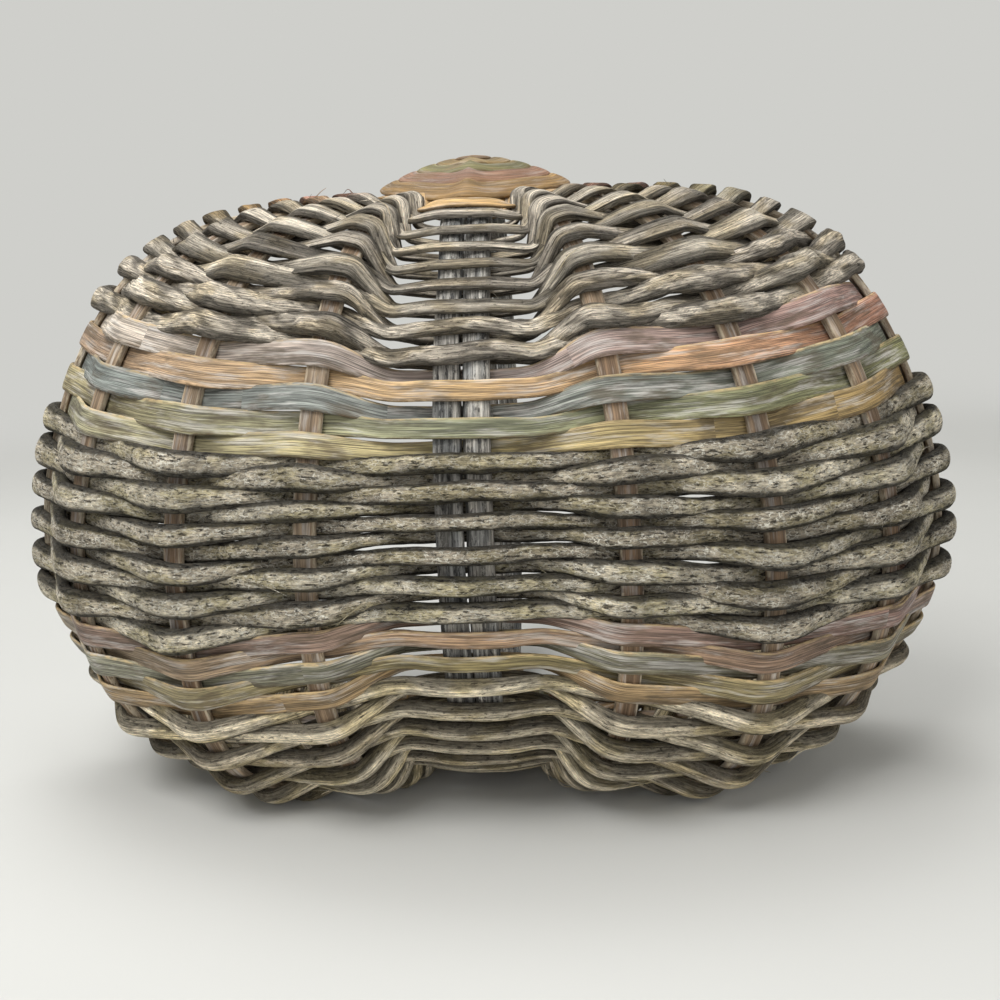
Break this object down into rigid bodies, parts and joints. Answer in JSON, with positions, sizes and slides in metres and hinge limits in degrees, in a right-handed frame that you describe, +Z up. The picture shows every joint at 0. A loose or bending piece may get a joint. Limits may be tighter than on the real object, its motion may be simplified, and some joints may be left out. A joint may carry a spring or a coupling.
{
  "type": "egg basket",
  "caption": "Twin-lobed ribbed egg basket of woven vine and dyed split reed on a rim hoop and a doubled handle hoop, lashed at both crossings, standing on its end.",
  "frame": {"origin": "on the floor, below the middle of the overall box, with the basket standing on its end", "axes": "+X along the width of the mouth, -Y out of the woven underside, +Y out of the mouth towards the handle, +Z up through the two lashed crossings"},
  "size_m": [0.373, 0.2626, 0.2448],
  "materials": {
    "reed_ochre": "dyed split reed, dull satin with long grain",
    "smooth_vine": "dry weathered vine, thin bark",
    "reed_tan": "dyed split reed, dull satin with long grain",
    "reed_olive": "dyed split reed, dull satin with long grain",
    "reed_sage": "dyed split reed, dull satin with long grain",
    "reed_brown": "dyed split reed, dull satin with long grain",
    "reed_pink": "dyed split reed, dull satin with long grain",
    "bark_vine": "rough grey bark with pale lichen",
    "reed_mustard": "dyed split reed, dull satin with long grain",
    "reed_green": "dyed split reed, dull satin with long grain",
    "reed_blue": "dyed split reed, dull satin with long grain",
    "reed_rust": "dyed split reed, dull satin with long grain",
    "reed_mauve": "dyed split reed, dull satin with long grain",
    "split_vine": "split vine with lengthwise grain",
    "rib_stave": "riven wood, brown face and pale edges",
    "hoop_rod": "grey-black streaked bark",
    "lashing_reed": "dyed reed, satin"
  },
  "bodies": {
    "root": {"bottom_eye_reed": "reed_ochre", "bottom_vine_1": "smooth_vine", "bottom_vine_2": "smooth_vine", "bottom_vine_3": "smooth_vine", "bottom_vine_4": "smooth_vine", "bottom_vine_5": "smooth_vine", "bottom_vine_6": "smooth_vine", "bottom_vine_7": "smooth_vine", "bottom_vine_8": "smooth_vine", "lower_reed_1": "reed_tan", "lower_reed_2": "reed_olive", "lower_reed_3": "reed_sage", "lower_reed_4": "reed_brown", "lower_reed_5": "reed_pink", "middle_vine_1": "bark_vine", "middle_vine_2": "bark_vine", "middle_vine_3": "bark_vine", "middle_vine_4": "bark_vine", "middle_vine_5": "bark_vine", "middle_vine_6": "bark_vine", "upper_reed_1": "reed_mustard", "upper_reed_2": "reed_green", "upper_reed_3": "reed_blue", "upper_reed_4": "reed_rust", "upper_reed_5": "reed_mauve", "top_vine_1": "split_vine", "top_vine_2": "split_vine", "top_vine_3": "split_vine", "top_vine_4": "split_vine", "top_vine_5": "split_vine", "top_vine_6": "split_vine", "top_vine_7": "split_vine", "top_vine_8": "split_vine", "top_eye_reed": "reed_ochre", "rim_hoop": "rib_stave", "handle_hoop_left": "hoop_rod", "handle_hoop_right": "hoop_rod", "rib_left_1": "rib_stave", "rib_right_1": "rib_stave", "rib_left_2": "rib_stave", "rib_right_2": "rib_stave", "rib_left_3": "rib_stave", "rib_right_3": "rib_stave", "rib_left_4": "rib_stave", "rib_right_4": "rib_stave", "top_eye_lashing": "lashing_reed", "bottom_eye_lashing": "lashing_reed"}
  },
  "joints": []
}
